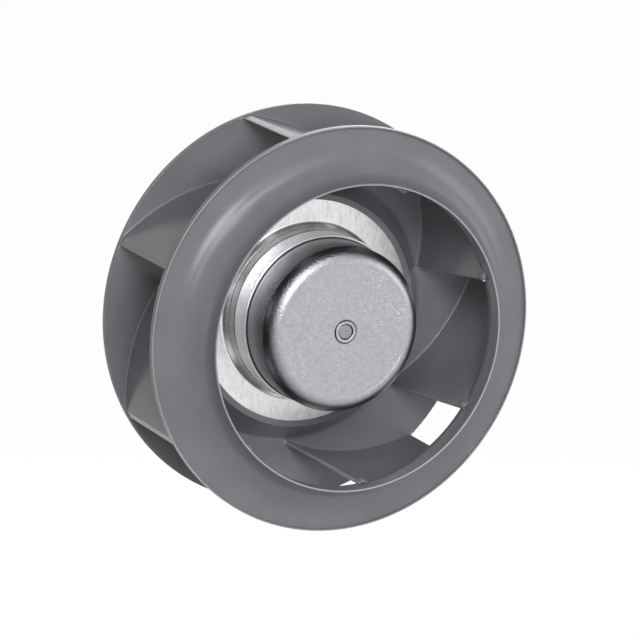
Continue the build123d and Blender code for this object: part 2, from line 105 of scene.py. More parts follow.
class Grain(Enum):
    """How a metal's pattern is scaled along each axis: below one, it is drawn out along that axis."""

    ROLLED_UPRIGHT = (1.0, 1.0, 0.16)
    EVEN = (1.0, 1.0, 1.0)


def linear(hex_colour: str) -> tuple[float, float, float, float]:
    """Turns an sRGB hex value into the linear colour that a shader takes.

    Args:
        hex_colour: six hex digits after a hash sign.

    Returns:
        Red, green, blue and an alpha of one.
    """
    shares = np.array([int(hex_colour[i : i + 2], 16) for i in (1, 3, 5)]) / 255
    curve = np.where(shares <= 0.04045, shares / 12.92, ((shares + 0.055) / 1.055) ** 2.4)
    return (*curve.tolist(), 1.0)


def unit(vectors: Array) -> Array:
    """Returns vectors whose parts lie along the last axis, with their length brought to one."""
    return vectors / np.linalg.norm(vectors, axis=-1, keepdims=True)


def swing(first: Array, last: Array, turn: float | Array, share: float | Array) -> Array:
    """Swings an arc's radius by a share of the turn: its first and last position, weighted by the sines of
    the angle left and the angle done, over the sine of the whole turn."""
    return (np.sin((1 - share) * turn) * first + np.sin(share * turn) * last) / np.sin(turn)


def rounded_outline(corners: list[Corner], ends: Ends, arc_step: float = 7.0, fewest: int = 3) -> Array:
    """Works out a turned outline whose corners are rounded.

    Each corner is cut back by its radius times the tangent of half the turn, and the arc between the two
    cuts is stepped in equal angles. Straight runs get extra points close to each arc, so that smooth
    shading keeps them flat.

    Args:
        corners: radius from the axis, height and fillet radius of each corner, in millimetres, and for a
        corner that gets a painted highlight or painted shade, the share of that mark.
        ends: whether the outline closes on itself or ends on the axis.
        arc_step: largest angle of one step on an arc, in degrees.
        fewest: steps that the smallest arc gets.

    Returns:
        Points as radius, height and share of the mark, one row each.
    """
    points = np.array([corner[:2] for corner in corners], float)
    count = len(points)
    path: list[Array] = []
    for index, here in enumerate(points):
        radius = corners[index][2]
        mark = corners[index][3] if len(corners[index]) > 3 else 0.0
        on_axis = ends is Ends.AXIS and index in (0, count - 1)
        if on_axis or radius == 0:
            path.append(np.array([[*here, mark]]))
            continue
        back, ahead = unit(points[index - 1] - here), unit(points[(index + 1) % count] - here)
        turn = math.pi - math.acos(float(np.clip(back @ ahead, -1, 1)))
        cut = radius * math.tan(turn / 2)
        centre = here + unit(back + ahead) * radius / math.cos(turn / 2)
        steps = max(fewest, math.ceil(math.degrees(turn) / arc_step))
        share = np.linspace(0, 1, steps + 1)[:, None]
        arc = centre + swing(here + back * cut - centre, here + ahead * cut - centre, turn, share)
        path.append(np.hstack([arc, np.full_like(share, mark)]))
    return spaced_runs(path, ends)


def spaced_runs(path: list[Array], ends: Ends, shortest: float = 0.02, short: float = 1.0) -> Array:
    """Joins the corners of an outline with straight runs.

    Args:
        path: the points of each corner in turn.
        ends: whether the last corner is joined to the first.
        shortest: length up to which a run gets no point, in millimetres.
        short: length up to which it gets only its middle point, which carries its corners' marks on.

    Returns:
        The whole outline, one row for each point.
    """
    shares = np.array(RUN_SHARES)[:, None]
    middle = shares[len(shares) // 2, None]
    whole: list[Array] = []
    for index, corner in enumerate(path):
        whole.append(corner)
        if index + 1 < len(path) or ends is Ends.LOOP:
            start, stop = corner[-1], path[(index + 1) % len(path)][0]
            length = np.linalg.norm((stop - start)[:2])
            if length > shortest:
                run = start + (stop - start) * (shares if length > short else middle)
                run[:, 2] *= length < short
                whole.append(run)
    return np.concatenate(whole)


@dataclass
class Surface:
    """A closed surface: points on the bench frame in millimetres, each with a share of the painted edge
    highlight or shade in the fourth column, and four-sided faces."""

    points: Array
    faces: Array

    @classmethod
    def from_grid(cls, grid: Array, loop_rows: bool, loop_columns: bool) -> "Surface":
        """Joins neighbours on a grid of points.

        Args:
            grid: points and marks by row and column.
            loop_rows: whether the last row meets the first.
            loop_columns: whether the last column meets the first.

        Returns:
            The surface with one face for each cell of the grid.
        """
        rows, columns = grid.shape[:2]
        number = np.arange(rows * columns).reshape(rows, columns)
        if loop_rows:
            number = np.vstack([number, number[:1]])
        if loop_columns:
            number = np.hstack([number, number[:, :1]])
        cells = np.stack([number[:-1, :-1], number[1:, :-1], number[1:, 1:], number[:-1, 1:]], axis=-1)
        return cls(grid.reshape(-1, 4), cells.reshape(-1, 4))

    @classmethod
    def turned(cls, corners: list[Corner], ends: Ends = Ends.LOOP, segments: int = 288) -> "Surface":
        """Turns a rounded outline round the axis.

        A point of the surface is (radius cos a, radius sin a, height), for the outline's radius and
        height and the angle a all the way round.

        Args:
            corners: the corners of the outline, as rounded_outline takes them.
            ends: whether the outline closes on itself or ends on the axis.
            segments: steps round the axis.

        Returns:
            The closed surface.
        """
        radius, height, mark = rounded_outline(corners, ends).T[..., None]
        angle = np.linspace(0, 2 * math.pi, segments, endpoint=False)
        level = np.ones_like(angle)
        grid = np.dstack([radius * np.cos(angle), radius * np.sin(angle), height * level, mark * level])
        return cls.from_grid(grid, ends is Ends.LOOP, True).outward()

    def outward(self) -> "Surface":
        """Turns the faces so that the volume they enclose counts as positive, and returns the surface."""
        first, second, third, fourth = (self.points[self.faces[:, corner], :3] for corner in range(4))
        volume = np.einsum("ij,ij->i", first, np.cross(second, third)).sum()
        volume += np.einsum("ij,ij->i", first, np.cross(third, fourth)).sum()
        if volume < 0:
            self.faces = self.faces[:, ::-1]
        return self

    def spun(self, degrees: float) -> "Surface":
        """Returns a copy turned round the axis by an angle in degrees, with the same marks."""
        turn = np.array(Matrix.Rotation(math.radians(degrees), 4, "Z"))
        return Surface(self.points @ turn.T, self.faces.copy())


@dataclass(frozen=True)
class Reach:
    """How far a node reaches from the axis and along it, in millimetres, read from the frame."""

    radius: float
    rear: float
    front: float

    @classmethod
    def of(cls, node: str) -> "Reach":
        """Reads a node's box; the front of the fan faces -Y."""
        low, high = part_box(node)
        return cls(radius=high.x / MM, rear=-high.y / MM, front=-low.y / MM)


def add_node(
    tree: Tree, kind: str, sockets: dict[str | int, Setting] | None = None, **settings: Setting
) -> bpy.types.Node:
    """Adds a node with its settings, values and links.

    Args:
        tree: the tree that gets the node.
        kind: the node's type name, without the ShaderNode that it starts with.
        sockets: for each input, a value, or the output that feeds it.
        settings: the node's own properties.

    Returns:
        The new node.
    """
    node = tree.nodes.new("ShaderNode" + kind)
    for name, value in settings.items():
        setattr(node, name, value)
    for name, value in (sockets or {}).items():
        if isinstance(value, Socket):
            tree.links.new(value, node.inputs[name])
        else:
            node.inputs[name].default_value = value
    return node


def calculate(tree: Tree, operation: str, *values: Setting) -> Socket:
    """Adds a calculation on numbers and returns its result."""
    return add_node(tree, "Math", dict(enumerate(values)), operation=operation).outputs[0]


def noise(tree: Tree, place: Socket, size_mm: float, detail: float) -> Socket:
    """Adds a noise whose lumps are about the given size, and returns its value from nought to one."""
    values = {"Vector": place, "Scale": 1 / (size_mm * MM), "Detail": detail}
    return add_node(tree, "TexNoise", values).outputs["Fac"]


def threshold(tree: Tree, value: Socket, low: float, high: float, top: float = 1.0) -> Socket:
    """Maps a value to nought at low and to top at high, with a soft step between."""
    values = {"Value": value, "From Min": low, "From Max": high, "To Max": top}
    step = add_node(tree, "MapRange", values, interpolation_type="SMOOTHSTEP")
    return step.outputs["Result"]


def rescale(tree: Tree, value: Socket, low: float, high: float) -> Socket:
    """Rescales a value from nought to one so that it runs from low to high."""
    values = {"Value": value, "To Min": low, "To Max": high}
    return add_node(tree, "MapRange", values).outputs["Result"]


def roughen(tree: Tree, value: Socket, roughness: float) -> Socket:
    """Turns a noise into a roughness that swings round the given one."""
    return rescale(tree, value, roughness - ROUGHNESS_SWING, roughness + ROUGHNESS_SWING)


def mix(tree: Tree, share: Socket, first: Setting, second: Setting, kind: str = "RGBA") -> Socket:
    """Mixes two colours, or with the kind FLOAT two numbers, by a share from nought to one."""
    values = {"Factor": share, "A": first, "B": second}
    return add_node(tree, "Mix", values, data_type=kind).outputs["Result"]


def cloud(tree: Tree, lumps: Socket, first: str, second: str) -> Socket:
    """Mixes two hex colours by a noise whose middle range is stretched to full contrast."""
    return mix(tree, threshold(tree, lumps, low=0.3, high=0.7), linear(first), linear(second))


def painted_edge_light_and_shade(tree: Tree) -> Socket:
    """Returns the share of painted highlight or painted shade that the mesh carries at its edges."""
    return add_node(tree, "Attribute", attribute_name="painted_edge_light_and_shade").outputs["Fac"]


def depth_along(tree: Tree, place: Socket) -> Socket:
    """Returns how far a point lies along the shaft, which runs along Y."""
    return add_node(tree, "SeparateXYZ", {"Vector": place}).outputs["Y"]


def white_ray(tree: Tree) -> Socket:
    """Returns one for a ray that sees plain white and nought for any other."""
    path = add_node(tree, "LightPath")
    found = path.outputs[WHITE_RAYS[0]]
    for kind in WHITE_RAYS[1:]:
        found = calculate(tree, "MAXIMUM", found, path.outputs[kind])
    return found


class Skin:
    """A material under construction, with its tree, its shader and the socket that gives a point on the
    object."""

    def __init__(self, name: str, metallic: float = 0.0) -> None:
        """Makes the material and finds its parts."""
        self.made = bpy.data.materials.new(name)
        self.made.use_nodes = True
        self.tree = self.made.node_tree
        self.shader = self.tree.nodes["Principled BSDF"]
        self.shader.inputs["Metallic"].default_value = metallic
        self.place = add_node(self.tree, "TexCoord").outputs["Object"]

    def bump(self, height: Socket, depth: Setting, share: Setting = 1.0, **under: Socket) -> Socket:
        """Adds a bump with a depth in metres, on top of the Normal if one is given; returns the normal."""
        values = {"Height": height, "Distance": depth, "Strength": share, **under}
        return add_node(self.tree, "Bump", values).outputs["Normal"]

    def finish(self, colour: Socket, roughness: Socket, normal: Socket) -> bpy.types.Material:
        """Feeds the shader with its colour, roughness and normal, and returns the material."""
        for name, value in (("Base Color", colour), ("Roughness", roughness), ("Normal", normal)):
            self.tree.links.new(value, self.shader.inputs[name])
        return self.made


@dataclass(frozen=True)
class MouldedNylon:
    """Glass-filled polyamide, injection moulded: grey all through, with a satin skin, faint flow clouds,
    the fine texture that short glass fibres leave, and a painted highlight along its small edges."""

    name: str = "moulded_glass_filled_nylon"
    colour: str = "#7C7D81"
    cloud_colour: str = "#828387"
    # Painted highlight: the pale colour that small edges are mixed towards.
    edge_highlight_colour: str = "#C2C3C6"
    roughness: Pair = (0.18, 0.28)
    gloss_level: float = 0.34
    cloud_mm: float = 28.0
    fibre_mm: float = 0.6
    fibre_depth_mm: float = 0.008

    def material(self) -> bpy.types.Material:
        """Builds the finish from two noises: wide clouds in the colour, fibres in roughness and bump."""
        skin = Skin(self.name)
        tree = skin.tree
        skin.shader.inputs["Specular IOR Level"].default_value = self.gloss_level
        fibre = noise(tree, skin.place, self.fibre_mm, detail=2.0)
        clouds = noise(tree, skin.place, self.cloud_mm, detail=3.0)
        clouded = cloud(tree, clouds, self.colour, self.cloud_colour)
        # Painted highlight: small edges are mixed towards the pale colour by the mesh's edge mark.
        highlighted_edges = mix(tree, painted_edge_light_and_shade(tree), clouded, linear(self.edge_highlight_colour))
        roughness = rescale(tree, fibre, *self.roughness)
        return skin.finish(highlighted_edges, roughness, skin.bump(fibre, self.fibre_depth_mm * MM))


@dataclass(frozen=True)
class ZincSheet:
    """Zinc-coated steel sheet: a bright metal skin with crystals that each lean a little, streaks along the
    drawing direction, small pale or dark specks in loose clusters where the press rubbed the zinc, and
    painted shade in its grooves and creases. Out at its corner and down its wall it carries a painted dark
    reflection, and it has a coarser grain there."""

    name: str
    colour: str
    crystal_colour: str
    pale_speck: str
    dark_speck: str
    grain: Grain = Grain.EVEN
    roughness: float = 0.34
    crystal_mm: float = 2.6
    lean_depth_mm: float = 0.012
    streak_mm: float = 0.45
    streak_share: float = 0.05
    streak_step: Pair = (0.5, 0.72)
    pale_speck_mm: float = 0.75
    pale_share: float = 0.12
    dark_speck_mm: float = 0.6
    dark_share: float = 0.08
    speck_peak: float = 1.075
    speck_step: float = 0.05
    cluster_mm: float = 15.0
    cluster_weight: float = 0.55
    # Painted shade: the colour that grooves, creases and seams are darkened towards.
    painted_shade_colour: str = "#2E2F32"
    # Painted dark reflection: radii and depths over which the sheet is darkened, its dark colour, and the
    # coarser bump laid over the same zone.
    dark_reflection_radii_mm: Pair | None = None
    dark_reflection_front_mm: Pair = (56.0, 71.0)
    dark_reflection_colour: str = "#6F7074"
    wall_grain_mm: float = 1.1
    wall_grain_depth_mm: float = 0.3

    def material(self) -> bpy.types.Material:
        """Builds the finish: crystals and streaks vary the colour; specks, a painted dark reflection where
        set, and painted shade in grooves lie over it.
        """
        skin = Skin(self.name, metallic=1.0)
        tree, place = skin.tree, skin.place
        drawn = add_node(tree, "Mapping", {"Vector": place, "Scale": self.grain.value}).outputs[0]
        crystal = noise(tree, place, self.crystal_mm, detail=3.0)
        streak = noise(tree, drawn, self.streak_mm, detail=2.0)
        cluster = noise(tree, place, self.cluster_mm, detail=2.0)
        lines = threshold(tree, streak, *self.streak_step, top=self.streak_share)
        pale = self.specks(tree, drawn, cluster, self.pale_speck_mm, self.pale_share)
        dark = self.specks(tree, drawn, cluster, self.dark_speck_mm, self.dark_share)
        base = cloud(tree, crystal, self.colour, self.crystal_colour)
        base = mix(tree, lines, base, linear(self.dark_speck))
        base = mix(tree, pale, base, linear(self.pale_speck))
        base = mix(tree, dark, base, linear(self.dark_speck))
        normal = skin.bump(crystal, self.lean_depth_mm * MM)
        # Painted dark reflection out at the corner and down the wall, with a coarser bump there.
        if self.dark_reflection_radii_mm:
            dark_reflection_share = self.dark_reflection_share(tree, place)
            base = mix(tree, dark_reflection_share, base, linear(self.dark_reflection_colour))
            wall = noise(tree, place, self.wall_grain_mm, detail=3.0)
            normal = skin.bump(wall, self.wall_grain_depth_mm * MM, dark_reflection_share, Normal=normal)
        # Painted shade: grooves, creases and seams are darkened by the mesh's edge mark.
        base = mix(tree, painted_edge_light_and_shade(tree), base, linear(self.painted_shade_colour))
        return skin.finish(base, roughen(tree, crystal, self.roughness), normal)

    def dark_reflection_share(self, tree: Tree, place: Socket) -> Socket:
        """Share of the painted dark reflection: it grows outwards and forwards."""
        flat = {0: place, 1: (1.0, 0.0, 1.0)}
        across = add_node(tree, "VectorMath", flat, operation="MULTIPLY").outputs[0]
        radius = add_node(tree, "VectorMath", {0: across}, operation="LENGTH").outputs["Value"]
        outwards = threshold(tree, radius, *(value * MM for value in self.dark_reflection_radii_mm))
        front = (-value * MM for value in self.dark_reflection_front_mm)
        forwards = threshold(tree, depth_along(tree, place), *front)
        return calculate(tree, "MULTIPLY", outwards, forwards)

    def specks(self, tree: Tree, place: Socket, cluster: Socket, size_mm: float, share: float) -> Socket:
        """Picks out the peaks of a fine noise, more of them where the wide cluster noise is high."""
        fine = noise(tree, place, size_mm, detail=1.0)
        both = calculate(tree, "MULTIPLY_ADD", cluster, self.cluster_weight, fine)
        edge = self.speck_peak - share
        return threshold(tree, both, edge, edge + self.speck_step)


@dataclass(frozen=True)
class WorkedSurface:
    """Any finish that needs one colour with a grain: ground, pressed, moulded or lacquered. RECIPES gives
    the numbers in the order of these fields."""

    name: str
    colour: str
    grain_colour: str
    grain_mm: float
    roughness: float
    metallic: float = 0.0
    depth_mm: float = 0.01

    def material(self) -> bpy.types.Material:
        """Builds the finish from one noise that drives colour, roughness and bump together."""
        skin = Skin(self.name, self.metallic)
        tree = skin.tree
        grain = noise(tree, skin.place, self.grain_mm, detail=4.0)
        colour = cloud(tree, grain, self.colour, self.grain_colour)
        normal = skin.bump(grain, self.depth_mm * MM)
        return skin.finish(colour, roughen(tree, grain, self.roughness), normal)


@dataclass(frozen=True)
class CastAluminium:
    """Die-cast aluminium: a grey skin with soft lumps all over, and brighter turned rings on the mounting
    face, which the lathe skims after casting."""

    name: str = "die_cast_aluminium"
    colour: str = "#A9AAAD"
    lump_colour: str = "#BDBEC1"
    turned_colour: str = "#D2D3D5"
    roughness: float = 0.44
    turned_roughness: float = 0.3
    lump_mm: float = 1.6
    lump_depth_mm: float = 0.05
    ring_pitch_mm: float = 0.9
    ring_depth_mm: float = 0.02
    skim_mm: float = 0.4

    def material(self) -> bpy.types.Material:
        """Builds the finish: noise for the cast skin, rings round the shaft's line on the turned face."""
        skin = Skin(self.name, metallic=1.0)
        tree, place = skin.tree, skin.place
        lump = noise(tree, place, self.lump_mm, detail=4.0)
        values = {"Vector": place, "Scale": WAVE_PITCH / (self.ring_pitch_mm * MM)}
        rings = add_node(tree, "TexWave", values, wave_type="RINGS", rings_direction="Y")
        skim = -self.skim_mm * MM
        turned = threshold(tree, depth_along(tree, place), skim, skim / 2)
        cast = cloud(tree, lump, self.colour, self.lump_colour)
        colour = mix(tree, turned, cast, linear(self.turned_colour))
        height = mix(tree, turned, lump, rings.outputs["Fac"], kind="FLOAT")
        depth = rescale(tree, turned, self.lump_depth_mm * MM, self.ring_depth_mm * MM)
        roughness = rescale(tree, turned, self.roughness, self.turned_roughness)
        return skin.finish(colour, roughness, skin.bump(height, depth))


RECIPES: dict[str, ZincSheet | WorkedSurface | CastAluminium] = {
    # Bright silver with upright streaks, which sets the ring off from the grey plastic.
    "galvanised_steel": ZincSheet(
        "galvanised_sheet_steel", "#EEEEF0", "#FCFCFD", pale_speck="#FFFFFF", dark_speck="#9C9DA1",
        grain=Grain.ROLLED_UPRIGHT, crystal_mm=5.0, streak_mm=0.8, streak_share=0.28,
        pale_share=0.1, dark_share=0.04,
    ),
    # A greyer, finely speckled face, with a painted dark reflection round its corner and down the wall.
    "rotor_steel": ZincSheet(
        "deep_drawn_zinc_coated_steel", "#ACADB1", "#B6B7BB", pale_speck="#DEDEE0", dark_speck="#8C8D91",
        dark_reflection_radii_mm=(36.0, 43.4),
    ),
    # A dull grey end with a fine ground grain.
    "shaft_steel": WorkedSurface("ground_shaft_steel", "#95969A", "#A0A1A4", 0.5, 0.3, 1.0, 0.004),
    # Smooth races and balls with sharp reflections.
    "bearing_steel": WorkedSurface("polished_bearing_steel", "#C2C3C5", "#CACBCD", 0.6, 0.15, 1.0, 0.002),
    # Dark, tempered washers, clips and ball cages.
    "spring_steel": WorkedSurface("hardened_spring_steel", "#6B6C70", "#77787C", 0.8, 0.35, 1.0, 0.004),
    # Light grey lumps, with brighter rings on the mounting face.
    "cast_aluminium": CastAluminium(),
    # A pale, coarse skin, as cast under pressure and left alone.
    "cage_aluminium": WorkedSurface("pressure_cast_aluminium", "#B9BABC", "#C6C7C9", 1.0, 0.45, 1.0, 0.03),
    # Dark grey stampings with a patchy skin.
    "lamination_steel": WorkedSurface("stamped_lamination_steel", "#6E7074", "#8A8C90", 0.5, 0.4, 1.0),
    # Ivory plastic with wide, faint clouds.
    "insulator_plastic": WorkedSurface("moulded_polyester", "#DDD8C4", "#D2CCB6", 6.0, 0.42),
    # Matt, cream-coloured paper.
    "liner_paper": WorkedSurface("insulating_paper", "#E4DCC0", "#D8CFB2", 2.0, 0.7),
    # Mottled amber strips.
    "wedge_laminate": WorkedSurface("glass_laminate_strip", "#A98F5C", "#9A8150", 0.8, 0.5),
    # Warm, lacquered wire whose deep mottling stands for the single strands.
    "winding_copper": WorkedSurface("enamelled_copper_wire", "#B4612F", "#8E4A22", 0.7, 0.3, 0.8, 0.05),
    # A small, glossy black case.
    "cutout_case": WorkedSurface("glossy_switch_case", "#1C1C1E", "#232326", 3.0, 0.22),
    # Dull black rubber.
    "grommet_rubber": WorkedSurface("moulded_black_rubber", "#1D1D1E", "#262627", 0.7, 0.62, 0.0, 0.02),
}


def build_finishes() -> Finishes:
    """Builds every finish once and returns them by slot; the shroud and the impeller share the nylon."""
    nylon = MouldedNylon().material()
    made = {slot: recipe.material() for slot, recipe in RECIPES.items()}
    made |= {"shroud_plastic": nylon, "impeller_plastic": nylon}
    LOG.info("%d finishes", len(made))
    return made


def make_piece(name: str, surfaces: list[Surface], finishes: Finishes, node: str, slot: str) -> None:
    """Puts surfaces into one object, lays it down into the part's frame and lets it turn with the rotor.

    The bench frame's Z runs forward along the shaft, so a point (x, y, z) goes to (x, -z, y). The marks
    become an attribute of the mesh: a finish shows them as a painted highlight on plastic edges or as
    painted shade in a metal groove or crease.

    Args:
        name: the object's name.
        surfaces: closed surfaces on the bench frame.
        finishes: the finishes by slot.
        node: the node that the piece stands for.
        slot: the record's material slot.
    """
    offsets = np.cumsum([0] + [len(surface.points) for surface in surfaces[:-1]])
    points = np.concatenate([surface.points for surface in surfaces])
    faces = np.concatenate([surface.faces + offset for surface, offset in zip(surfaces, offsets)])
    laid = np.stack([points[:, 0], -points[:, 2], points[:, 1]], axis=1) * MM
    mesh = bpy.data.meshes.new(name)
    mesh.from_pydata(laid.tolist(), [], faces.tolist())
    # Painted highlight and painted shade: each point's share of the edge mark goes onto the mesh.
    marks = mesh.attributes.new("painted_edge_light_and_shade", "FLOAT", "POINT")
    marks.data.foreach_set("value", points[:, 3].astype(np.float32))
    shell = bmesh.new()
    shell.from_mesh(mesh)
    bmesh.ops.remove_doubles(shell, verts=shell.verts, dist=WELD_GAP)
    shell.to_mesh(mesh)
    shell.free()
    mesh.shade_smooth()
    mesh.materials.append(finishes[slot])
    piece = bpy.data.objects.new(name, mesh)
    bpy.context.scene.collection.objects.link(piece)
    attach(piece, "rotor")
    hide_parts(node)
    LOG.info("%s: %d faces, stands for %s", name, len(mesh.polygons), node)


@dataclass
class ShroudRing:
    """Moulded inlet ring: thin lip at the throat, quarter-round flare, flat rim and upright bead. Inside,
    the throat stays straight for some way and then turns outwards more tightly."""

    reach: Reach
    wall: float = 2.3
    throat_wall: float = 1.2
    throat_radius: float = 82.3
    flare_radius: float = 22.5
    inner_flare: float = 16.2
    bead_width: float = 1.1
    bead_height: float = 1.8
    lip_fillet: float = 0.45
    # Share of painted highlight on the lip's edge.
    lip_highlight: float = 0.9
    rim_fillet: float = 0.7
    bead_fillet: float = 0.35
    # Share of painted highlight on the bead's edge.
    bead_highlight: float = 0.6
    soft_fillet: float = 0.5
    segments: int = 360

    def build(self, finishes: Finishes) -> None:
        """Turns the ring's section and dresses it."""
        throat_outer = self.throat_radius + self.throat_wall
        face = self.reach.rear + self.wall
        outer = self.reach.radius
        bead_inner = outer - self.bead_width
        bead_front = face + self.bead_height
        section = [
            (self.throat_radius, self.reach.front, self.lip_fillet, self.lip_highlight),
            (throat_outer, self.reach.front, self.soft_fillet),
            (throat_outer, face, self.flare_radius - self.wall),
            (bead_inner, face, self.soft_fillet),
            (bead_inner, bead_front, self.soft_fillet),
            (outer, bead_front, self.bead_fillet, self.bead_highlight),
            (outer, self.reach.rear, self.rim_fillet),
            (self.throat_radius, self.reach.rear, self.inner_flare),
        ]
        ring = Surface.turned(section, segments=self.segments)
        make_piece("inlet_shroud", [ring], finishes, "shroud_ring", "shroud_plastic")


@dataclass
class HubRing:
    """Drawn steel ring: flange, rounded foot, sloping step and the collar that grips the can. The press
    leaves a fine crease at each end of the step."""

    reach: Reach
    can_radius: float
    wall: float = 1.6
    step: float = 0.8
    step_height: float = 11.1
    step_run: float = 5.4
    step_fillet: float = 0.5
    bend: float = 2.5
    crease_depth: float = 0.55
    crease_half: float = 0.42
    crease_edge: float = 0.08
    # Share of painted shade on each crease's edges.
    crease_edge_shade: float = 0.6
    crease_root: float = 0.05
    # Share of painted shade at each crease's root.
    crease_shade: float = 1.0
    outer_edge: float = 0.3
    inner_edge: float = 0.6
    # Share of painted shade at the seam against the can.
    seam_shade: float = 0.8

    def crease(self, radius: float, height: float) -> list[Corner]:
        """Corners of a shallow groove in the outer face, for an outline that runs towards the rear, with
        painted shade at its root and edges.
        """
        return [
            (radius, height + self.crease_half, self.crease_edge, self.crease_edge_shade),
            (radius - self.crease_depth, height, self.crease_root, self.crease_shade),
            (radius, height - self.crease_half, self.crease_edge, self.crease_edge_shade),
        ]

    def build(self, finishes: Finishes) -> None:
        """Turns the ring's section and dresses it."""
        flange_front = self.reach.rear + self.wall
        foot_inner = self.can_radius + self.step
        foot_outer = foot_inner + self.wall
        step_front = flange_front + self.step_height
        step_rear = step_front - self.step_run
        collar_outer = self.can_radius + self.wall
        section = [
            (self.reach.radius, flange_front, 0.0),
            (self.reach.radius, self.reach.rear, 0.0),
            (foot_inner, self.reach.rear, self.bend + self.wall),
            (foot_inner, step_rear, self.step_fillet),
            (self.can_radius, step_front, self.step_fillet),
            (self.can_radius, self.reach.front, self.inner_edge, self.seam_shade),
            (collar_outer, self.reach.front, self.outer_edge),
            *self.crease(collar_outer, step_front),
            *self.crease(foot_outer, step_rear),
            (foot_outer, flange_front, self.bend),
        ]
        make_piece("drawn_hub_ring", [Surface.turned(section)], finishes, "hub_ring", "galvanised_steel")


@dataclass
class BackDisc:
    """Back disc, one moulding with the blades, with the raised lip that holds the steel flange."""

    reach: Reach
    hub: HubRing
    wall: float = 2.5
    rear: float = 11.4
    lip_overlap: float = 2.0
    lip_cover: float = 0.8
    lip_land: float = 1.3
    lip_fillet: float = 0.3
    step_run: float = 10.8
    rear_overlap: float = 6.0
    foot_fillet: float = 4.0
    edge_fillet: float = 0.5
    segments: int = 360

    @property
    def front(self) -> float:
        """Height of the disc's front face."""
        return self.rear + self.wall

    @property
    def step_foot(self) -> float:
        """Radius at which the slope from the lip meets the disc's front face."""
        return self.hub.reach.radius + self.lip_land + self.step_run

    def build(self, finishes: Finishes) -> None:
        """Turns the section, from the hub lip out to the rim and back, and dresses the disc."""
        ring_edge = self.hub.reach.radius
        ring_rear = self.hub.reach.rear
        ring_front = ring_rear + self.hub.wall
        lip_front = ring_front + self.lip_cover
        lip_inner = ring_edge - self.lip_overlap
        slope = math.atan((lip_front - self.front) / self.step_run)
        rear_foot = self.step_foot - self.wall * (1 - math.cos(slope)) / math.sin(slope)
        rear_lip = ring_rear - self.wall
        rear_top = rear_foot - (rear_lip - self.rear) / math.tan(slope)
        rear_inner = ring_edge - self.rear_overlap
        section = [
            (lip_inner, lip_front, self.lip_fillet),
            (ring_edge + self.lip_land, lip_front, self.edge_fillet),
            (self.step_foot, self.front, self.foot_fillet),
            (self.reach.radius, self.front, self.edge_fillet),
            (self.reach.radius, self.rear, self.edge_fillet),
            (rear_foot, self.rear, self.foot_fillet + self.wall),
            (rear_top, rear_lip, self.foot_fillet / 2),
            (rear_inner, rear_lip, self.edge_fillet),
            (rear_inner, ring_rear, 0.0),
            (ring_edge, ring_rear, 0.0),
            (ring_edge, ring_front, 0.0),
            (lip_inner, ring_front, 0.0),
        ]
        disc = Surface.turned(section, segments=self.segments)
        make_piece("back_disc", [disc], finishes, "impeller_base", "impeller_plastic")


